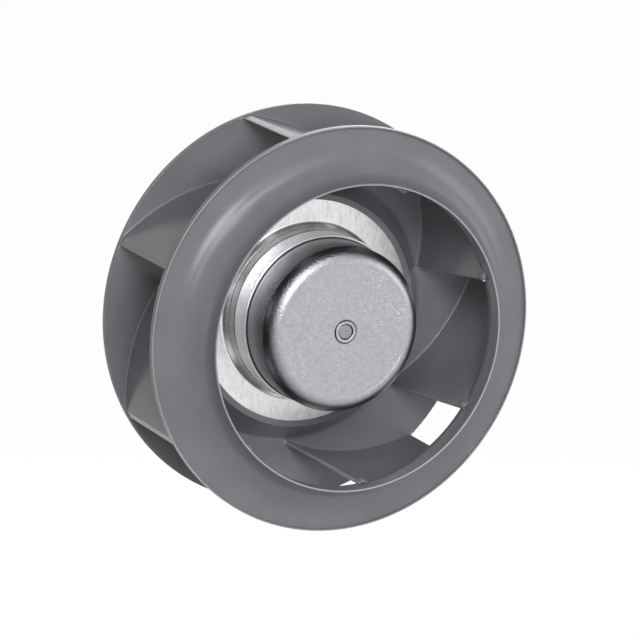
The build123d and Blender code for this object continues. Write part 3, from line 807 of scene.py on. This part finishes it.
@dataclass
class Blades:
    """Backward-curved blades between the back disc and the shroud. Each has a rounded nose, a fillet round
    its root and a small dome that locates its tip."""

    disc: BackDisc
    shroud: ShroudRing
    count: int = 7
    wall: float = 2.2
    phase: float = 4.5
    spiral_end: float = 112.0
    trailing_radius: float = 109.8
    root_gap: float = 2.5
    root_wrap: float = 45.6
    root_fillet: float = 0.8
    root_sink: float = 0.6
    tip_gap: float = -0.4
    tip_wrap: float = 39.5
    tip_drop: float = 6.0
    blank_sink: float = 1.0
    weld_sink: float = 0.7
    end_fillet: float = 0.3
    pip_half: Triple = (2.1, 1.5, 3.0)
    pip_inset: float = 1.4
    pip_level: float = 0.65
    pip_bury: float = 0.8
    # Shares of painted highlight along the edges.
    nose_highlight: float = 0.6
    corner_highlight: float = 0.5
    end_highlight: float = 0.1
    pip_highlight: float = 0.1
    # How finely the skin is divided.
    fillet_rows: int = 7
    face_rows: int = 34
    row_spread: float = 0.9
    nose_start: float = 5.0
    nose_points: int = 8
    face_points: int = 56
    point_spread: float = 1.1
    corner_points: int = 5
    end_run: tuple[float, ...] = (0.08, 0.35, 0.65, 0.9)
    pip_points: int = 24
    # How closely the places are solved, with small steps as shares of the spiral.
    roof_passes: int = 12
    halvings: int = 30
    end_between: Pair = (0.5, 1.1)
    tangent_step: float = 1e-4
    pitch_step: float = 0.01

    def spiral(self, share: Array, leading: float, wrap: float) -> Array:
        """Log spiral over a wrap in degrees, from the leading radius out to the spiral's end."""
        radius, angle = leading * (self.spiral_end / leading) ** share, np.radians(-wrap * (1 - share))
        return np.stack([radius * np.cos(angle), radius * np.sin(angle)], axis=-1)

    def mean_line(self, share: Array, height: Array) -> Array:
        """Mean line of one blade.

        At the root and at the tip the line is a log spiral: its radius grows from the leading radius to the
        spiral's end as a power of the share, and its angle grows evenly. Between the two, a point moves
        along a straight line with the height.

        Args:
            share: position along the spiral, from 0 at the leading edge to 1 at the spiral's end.
            height: height above the mounting face, of the same shape or one that broadcasts to it.

        Returns:
            Plan points, in millimetres.
        """
        bottom = self.disc.front - self.blank_sink
        top = self.shroud.reach.rear + self.shroud.flare_radius - self.tip_drop
        lean = ((height - bottom) / (top - bottom))[..., None]
        root = self.spiral(share, self.disc.step_foot + self.root_gap, self.root_wrap)
        tip = self.spiral(share, self.shroud.throat_radius + self.tip_gap, self.tip_wrap)
        return root * (1 - lean) + tip * lean

    def face_point(
        self, share: Array, height: Array, offset: Array, onward: Array | float = 0.0
    ) -> tuple[Array, Array]:
        """Point beside the mean line: the line's point plus its normal times an offset.

        Args:
            share: position along the spiral.
            height: height above the mounting face.
            offset: signed distance to the side, in millimetres.
            onward: distance along the line, in millimetres.

        Returns:
            The plan points and the line's unit tangents there.
        """
        middle = self.mean_line(share, height)
        tangent = unit(self.mean_line(share + self.tangent_step, height) - middle)
        normal = np.stack([-tangent[..., 1], tangent[..., 0]], axis=-1)
        return middle + normal * offset[..., None] + tangent * np.asarray(onward)[..., None], tangent

    def end_share(self, height: Array, offset: Array) -> Array:
        """Share at which a face of the blade meets the trailing cylinder, found by halving the interval."""
        low, high = (np.full(height.shape, share) for share in self.end_between)
        for _ in range(self.halvings):
            middle = (low + high) / 2
            plan = self.face_point(middle, height, offset)[0]
            beyond = np.linalg.norm(plan, axis=-1) > self.trailing_radius
            low, high = np.where(beyond, low, middle), np.where(beyond, middle, high)
        return low

    def roof(self, plan: Array) -> Array:
        """Height of the shroud's inner face, a quarter circle in section, plus the sink of the weld."""
        flare = self.shroud.inner_flare
        inward = np.clip(self.shroud.throat_radius + flare - np.linalg.norm(plan, axis=-1), 0.0, flare)
        return self.shroud.reach.rear + flare - np.sqrt(flare**2 - inward**2) + self.weld_sink

    def blade(self) -> Surface:
        """Builds one blade as a closed surface.

        Its section has a half circle at the nose, two faces half a wall from the mean line, and an end that
        follows the trailing cylinder between two small rounds. The half wall grows into a quarter-round
        fillet at the disc, and the top row lies a little inside the shroud's wall.

        Returns:
            The closed surface.
        """
        fillet = np.radians(np.linspace(0, 90, self.fillet_rows))
        foot = self.disc.front + self.root_fillet * (1 - np.cos(fillet))
        upward = np.linspace(0, 1, self.face_rows)[1:] ** self.row_spread
        climb = np.concatenate([np.zeros(len(fillet) + 1), upward])
        grown = np.concatenate([[self.root_fillet], self.root_fillet * (1 - np.sin(fillet)), 0 * upward])
        low = np.concatenate([[self.disc.front - self.root_sink], foot, np.full_like(upward, foot[-1])])
        left, right = (self.blade_side(hand, np.stack([climb, grown, low])) for hand in (1, -1))
        grid = np.hstack([left, right[:, ::-1]])
        closed = Surface.from_grid(grid, False, True)
        rows, columns = grid.shape[:2]
        half = np.arange(columns // 2 - 1)
        across = np.stack([half, half + 1, columns - 2 - half, columns - 1 - half], axis=1)
        last_row = (rows - 1) * columns
        closed.faces = np.concatenate([closed.faces, across, across[:, ::-1] + last_row])
        return closed.outward()

    def blade_side(self, hand: int, rows: Array) -> Array:
        """Works out one half of the blade's skin, from beside the nose to beside the middle of the end.

        The heights follow from the shroud over each point and the plan follows from the heights, so both
        are worked out in turn until they agree.

        Args:
            hand: 1 or -1, the side of the mean line.
            rows: for each row the share of the free height that it climbs, what the root fillet adds to the
                half wall, and the height from which it climbs.

        Returns:
            Points and marks by row and by position along the blade.
        """
        nose = np.radians(np.linspace(self.nose_start, 90, self.nose_points, endpoint=False))
        along = np.linspace(0, 1, self.face_points) ** self.point_spread
        lengths = [len(along), self.corner_points, len(self.end_run)]
        # Painted highlight: each point's share along the section, strongest at the nose.
        highlight_share = np.repeat([0, self.corner_highlight, self.end_highlight], lengths)
        highlight_share = np.concatenate([self.nose_highlight * np.cos(nose) ** 4, highlight_share])
        climb, grown, low = rows[..., None]
        half_wall = self.wall / 2 + grown
        height = np.repeat(low, len(highlight_share), axis=1)
        for _ in range(self.roof_passes):
            nose_height, face_height = height[:, : len(nose)], height[:, len(nose) :][:, : len(along)]
            before = -half_wall * np.cos(nose)
            beside = hand * half_wall * np.sin(nose)
            nose_plan = self.face_point(np.zeros_like(nose_height), nose_height, beside, before)[0]
            end_plan, stop = self.blade_end(face_height[:, -1], hand * half_wall[:, 0])
            face_plan = self.face_point(along * stop, face_height, hand * half_wall)[0]
            plan = np.hstack([nose_plan, face_plan, end_plan])
            height = low + climb * np.maximum(self.roof(plan) - low, 0.0)
        return np.dstack([plan, height, np.broadcast_to(highlight_share, height.shape)])

    def blade_end(self, height: Array, offset: Array) -> tuple[Array, Array]:
        """Works out one half of the blade's end: a small round, then a run along the trailing cylinder.

        Args:
            height: height of the end, for each row.
            offset: signed half wall, for each row.

        Returns:
            Plan points by row, and the share of the spiral at which the face gives way to the round.
        """
        share = self.end_share(height, offset)
        corner, tangent = self.face_point(share, height, offset)
        far = self.face_point(self.end_share(height, -offset), height, -offset)[0]
        across = unit(far - corner)
        opening = np.arccos(np.clip((-tangent * across).sum(axis=-1, keepdims=True), -1, 1))
        cut = self.end_fillet / np.tan(opening / 2)
        centre = corner + unit(across - tangent) * self.end_fillet / np.sin(opening / 2)
        first, last = corner - tangent * cut - centre, corner + across * cut - centre
        done = np.linspace(0, 1, self.corner_points + 1)[1:]
        arc = [centre + swing(first, last, math.pi - opening, part) for part in done]
        halfway = (corner + far) / 2
        run = [unit(arc[-1] + (halfway - arc[-1]) * part) * self.trailing_radius for part in self.end_run]
        before = self.mean_line(share - self.pitch_step, height)
        pitch = np.linalg.norm(self.mean_line(share, height) - before, axis=-1)[:, None]
        return np.stack(arc + run, axis=1), share[:, None] - self.pitch_step * cut / pitch

    def pip(self) -> Surface:
        """Builds the small dome at the tip of a leading edge, which locates the blade in the shroud.

        A point is the centre plus the three half axes times (cos u cos v, sin u cos v, sin v), where the
        first axis follows the blade's line, the second crosses it and the third runs along the shaft.

        Returns:
            The closed surface.
        """
        level = np.array([self.shroud.reach.rear + self.shroud.inner_flare * self.pip_level])
        beside, onward = np.array([self.wall / 2]), np.array([self.pip_inset])
        plan, tangent = self.face_point(np.zeros(1), level, beside, onward)
        height = self.roof(plan)[0] - self.weld_sink - self.pip_half[2] * self.pip_bury
        x, y = tangent[0]
        axes = np.array([(x, y, 0), (-y, x, 0), (0, 0, 1)]) * np.array(self.pip_half)[:, None]
        turn, rise = np.meshgrid(
            np.linspace(0, 2 * math.pi, self.pip_points, endpoint=False),
            np.radians(np.linspace(-90, 90, self.pip_points // 2)),
            indexing="ij",
        )
        ball = np.dstack([np.cos(turn) * np.cos(rise), np.sin(turn) * np.cos(rise), np.sin(rise)])
        dome = np.array([*plan[0], height]) + ball @ axes
        grid = np.dstack([dome, np.full(turn.shape, self.pip_highlight)])
        return Surface.from_grid(grid, True, False).outward()

    def build(self, finishes: Finishes) -> None:
        """Makes each blade and dresses it."""
        parts = [self.blade(), self.pip()]
        for index in range(self.count):
            turned = [part.spun(self.phase + 360 / self.count * index) for part in parts]
            make_piece(f"blade_{index + 1}", turned, finishes, "impeller_base", "impeller_plastic")


@dataclass
class RotorCan:
    """Deep-drawn cup of the outer rotor, with its rounded corner, a raised ring round the shaft and the
    groove that the press leaves round that ring."""

    reach: Reach
    wall: float = 1.8
    corner: float = 8.0
    shaft_radius: float = 4.0
    boss_width: float = 1.85
    boss_height: float = 0.4
    boss_edge: float = 0.25
    groove_width: float = 0.5
    groove_depth: float = 0.7
    groove_edge: float = 0.12
    # Share of painted shade on the groove's outer edge.
    groove_edge_shade: float = 0.5
    bore_gap: float = 0.3
    bore_gap_depth: float = 1.1
    bore_edge: float = 0.2
    face_edge: float = 36.6
    face_drop: float = 0.07
    sharp: float = 0.05
    # Share of painted shade in the groove and in the gap round the shaft.
    recess_shade: float = 1.0
    rim_edge: float = 0.4
    collar_wall: float = 3.8
    collar_length: float = 7.0
    collar_root: float = 0.8
    collar_edge: float = 0.3

    def build(self, finishes: Finishes) -> None:
        """Turns the cup's section and dresses it."""
        front = self.reach.front
        face = front - self.boss_height
        inside = face - self.wall
        gap_floor = front - self.bore_gap_depth
        gap_outer = self.shaft_radius + self.bore_gap
        boss_radius = self.shaft_radius + self.boss_width
        groove_floor = face - self.groove_depth
        groove_outer = boss_radius + self.groove_width
        inner_radius = self.reach.radius - self.wall
        collar_outer = self.shaft_radius + self.collar_wall
        collar_rear = inside - self.collar_length
        section = [
            (self.shaft_radius, gap_floor, 0.0, self.recess_shade),
            (gap_outer, gap_floor, 0.0, self.recess_shade),
            (gap_outer, front, self.bore_edge),
            (boss_radius, front, self.boss_edge),
            (boss_radius, groove_floor, self.sharp, self.recess_shade),
            (groove_outer, groove_floor, self.sharp, self.recess_shade),
            (groove_outer, face - self.face_drop, self.groove_edge, self.groove_edge_shade),
            (self.face_edge, face - self.face_drop, self.sharp),
            (self.face_edge + self.face_drop, face, self.sharp),
            (self.reach.radius, face, self.corner),
            (self.reach.radius, self.reach.rear, self.rim_edge),
            (inner_radius, self.reach.rear, self.rim_edge),
            (inner_radius, inside, self.corner - self.wall),
            (collar_outer, inside, self.collar_root),
            (collar_outer, collar_rear, self.collar_edge),
            (self.shaft_radius, collar_rear, self.collar_edge),
        ]
        make_piece("rotor_cup", [Surface.turned(section)], finishes, "rotor_can", "rotor_steel")


@dataclass
class Shaft:
    """Ground shaft with chamfered ends and a centre drilling."""

    reach: Reach
    chamfer: float = 0.4
    edge: float = 0.08
    drill_radius: float = 0.6
    drill_depth: float = 0.8
    drill_edge: float = 0.05
    segments: int = 96

    def build(self, finishes: Finishes) -> None:
        """Turns the shaft's section and dresses it."""
        radius, rear, front = self.reach.radius, self.reach.rear, self.reach.front
        section = [
            (0.0, front - self.drill_depth, 0.0),
            (self.drill_radius, front, self.drill_edge),
            (radius - self.chamfer, front, self.edge),
            (radius, front - self.chamfer, self.edge),
            (radius, rear + self.chamfer, self.edge),
            (radius - self.chamfer, rear, self.edge),
            (0.0, rear, 0.0),
        ]
        shaft = Surface.turned(section, Ends.AXIS, self.segments)
        make_piece("ground_shaft", [shaft], finishes, "shaft", "shaft_steel")


@dataclass
class CarriedNodes:
    """Nodes that keep their own shape and get only a finish."""

    slots: dict[str, str]
    nodes: dict[str, bpy.types.Object]

    def dress(self, finishes: Finishes) -> None:
        """Gives each shown node the finish of its slot."""
        for name, node in self.nodes.items():
            if node.hide_render:
                continue
            finish = finishes[self.slots[name]]
            node.data.materials.clear()
            node.data.materials.append(finish)
            LOG.info("%s keeps its shape, in %s", name, finish.name)


@dataclass(frozen=True)
class Softbox:
    """Soft rectangular lamp that looks at the fan's middle from a direction and a distance in metres. One
    that isn't diffuse shows only as a highlight, as a far, narrow window does."""

    name: str
    direction: Triple
    power: float
    width: float = 0.7
    length: float = 0.7
    distance: float = 1.7
    long_axis: Triple = (0.0, 0.0, 1.0)
    diffuse: bool = True

    def hang(self) -> None:
        """Makes the lamp, with its long side along the long axis as far as its direction allows."""
        data = bpy.data.lights.new(self.name, "AREA")
        data.shape = "RECTANGLE"
        data.size = self.width
        data.size_y = self.length
        data.energy = self.power
        lamp = bpy.data.objects.new(self.name, data)
        lamp.visible_diffuse = self.diffuse
        bpy.context.scene.collection.objects.link(lamp)
        back = Vector(self.direction).normalized()
        long_axis = Vector(self.long_axis)
        long_axis = (long_axis - back * long_axis.dot(back)).normalized()
        turned = Matrix((long_axis.cross(back), long_axis, back)).transposed().to_4x4()
        lamp.matrix_world = Matrix.Translation(back * self.distance) @ turned


@dataclass
class Studio:
    """Pale floor, white surroundings and soft lamps, most of them near the camera."""

    floor_size: float = 24.0
    floor_drop: float = 0.5
    floor_glow: float = 0.93
    floor_white: float = 1.05
    fill: float = 0.07
    softboxes: tuple[Softbox, ...] = (
        Softbox("front_right_softbox", (-0.2, -0.94, 0.28), 10.0, 0.5, 0.5),
        Softbox("front_upper_softbox", (-0.36, -0.75, 0.56), 7.4),
        Softbox("right_upper_softbox", (0.13, -0.76, 0.67), 2.6),
        Softbox("right_softbox", (0.97, -0.15, 0.12), 1.2),
        Softbox("left_softbox", (-0.96, 0.27, 0.05), 1.2),
        Softbox("right_front_softbox", (0.75, -0.65, 0.1), 3.4),
        Softbox("rear_softbox", (0.56, 0.79, 0.25), 8.0, 1.3, 1.3),
        Softbox("highlight_strip", (-0.33, -0.78, 0.53), 4.5, 0.16, 1.6, 1.6, (0.69, 0.18, 0.69), False),
    )

    def build(self) -> None:
        """Makes the floor, the surroundings and the lamps."""
        self.make_floor()
        self.make_surroundings()
        for softbox in self.softboxes:
            softbox.hang()
        LOG.info("studio with %d softboxes", len(self.softboxes))

    def make_floor(self) -> None:
        """Lays a pale floor under the fan, which glows white for the camera and in reflections."""
        low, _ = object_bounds()
        place = (0.0, 0.0, low.z - self.floor_drop)
        bpy.ops.mesh.primitive_plane_add(size=self.floor_size, location=place)
        floor = bpy.context.object
        floor.name = "floor"
        made = bpy.data.materials.new("pale_floor")
        made.use_nodes = True
        tree = made.node_tree
        tree.nodes.clear()
        pale = add_node(tree, "BsdfDiffuse", {"Color": linear("#F2F2F2")}).outputs[0]
        values = {"Color": linear("#FFFFFF"), "Strength": self.floor_white}
        white = add_node(tree, "Emission", values).outputs[0]
        values = {0: self.floor_glow, 1: pale, 2: white}
        glowing = add_node(tree, "MixShader", values).outputs[0]
        shown = add_node(tree, "MixShader", {0: white_ray(tree), 1: pale, 2: glowing})
        add_node(tree, "OutputMaterial", {"Surface": shown.outputs[0]})
        floor.data.materials.append(made)
        floor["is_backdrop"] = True

    def make_surroundings(self) -> None:
        """Makes the world white to the camera and to reflections, and a plain level of light elsewhere."""
        world = bpy.data.worlds.new("white_studio")
        bpy.context.scene.world = world
        world.use_nodes = True
        tree = world.node_tree
        tree.nodes.clear()
        strength = rescale(tree, white_ray(tree), self.fill, 1.0)
        values = {"Color": linear("#FFFFFF"), "Strength": strength}
        back = add_node(tree, "Background", values)
        add_node(tree, "OutputWorld", {"Surface": back.outputs[0]})


@dataclass
class PhotoCamera:
    """Camera at the photograph's centre of projection, aimed and scaled to fit the fan's rims and edges."""

    place_mm: Triple = (-890.0, -1907.9, 524.4)
    azimuth: float = -25.581
    elevation: float = 14.295
    roll: float = 0.272
    focal_pixels: float = 3968.5
    sensor_mm: float = 36.0
    nearest: float = 0.1
    farthest: float = 50.0

    def build(self) -> None:
        """Sets the camera down at its place, turns it by its three angles and makes it the scene's own."""
        azimuth, elevation, roll = np.radians([self.azimuth, self.elevation, self.roll])
        aimed = Matrix.Rotation(azimuth, 4, "Z") @ Matrix.Rotation(math.pi / 2 - elevation, 4, "X")
        turned = aimed @ Matrix.Rotation(roll, 4, "Z")
        data = bpy.data.cameras.new("photo_camera")
        data.sensor_width = self.sensor_mm
        data.lens = self.focal_pixels / IMAGE_SIZE * self.sensor_mm
        data.clip_start, data.clip_end = self.nearest, self.farthest
        camera = bpy.data.objects.new("photo_camera", data)
        bpy.context.scene.collection.objects.link(camera)
        camera.matrix_world = Matrix.Translation(Vector(self.place_mm) * MM) @ turned
        bpy.context.scene.camera = camera
        bpy.context.scene.view_settings.view_transform = "Standard"
        LOG.info("camera: %.1f mm lens", data.lens)


def main() -> None:
    """Builds the fan's pieces in order, dresses the carried nodes, lights the studio and keeps the sizes."""
    logging.basicConfig(level=logging.INFO, format="%(name)s: %(message)s")
    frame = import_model()
    finishes = build_finishes()
    shroud = ShroudRing(Reach.of("shroud_ring"))
    can = RotorCan(Reach.of("rotor_can"))
    hub = HubRing(Reach.of("hub_ring"), can.reach.radius)
    disc = BackDisc(Reach.of("impeller_base"), hub)
    for piece in (shroud, disc, Blades(disc, shroud), hub, can, Shaft(Reach.of("shaft"))):
        piece.build(finishes)
    slots = {part["node"]: part["material_slot"] for part in frame["record"]["subparts"]}
    CarriedNodes(slots, frame["nodes"]).dress(finishes)
    Studio().build()
    PhotoCamera().build()


if __name__ == "__main__":
    main()
